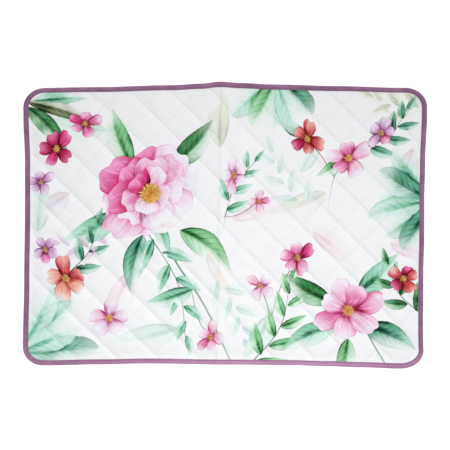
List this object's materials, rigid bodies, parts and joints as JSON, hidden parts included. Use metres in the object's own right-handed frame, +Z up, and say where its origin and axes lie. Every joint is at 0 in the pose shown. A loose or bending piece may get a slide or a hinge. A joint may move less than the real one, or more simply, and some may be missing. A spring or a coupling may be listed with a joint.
{
  "type": "quilted fabric placemat",
  "caption": "Flat quilted cloth mat with rounded corners, a printed floral face and a bias-bound edge, laid under a place setting to protect a table.",
  "frame": {"origin": "centre of the mat's bounding box, on the surface that it lies on", "axes": "+X along the long side, +Y across the mat towards the edge that is at the top in the picture, +Z up out of the printed face"},
  "size_m": [0.5035, 0.3573, 0.0074],
  "materials": {
    "printed_cotton": "matt plain-weave cotton, white ground with a watercolour floral print",
    "mauve_cotton": "matt plain-weave cotton, mauve, cut on the bias"
  },
  "bodies": {
    "root": {"quilted_panel": "printed_cotton", "bias_binding": "mauve_cotton"}
  },
  "joints": []
}
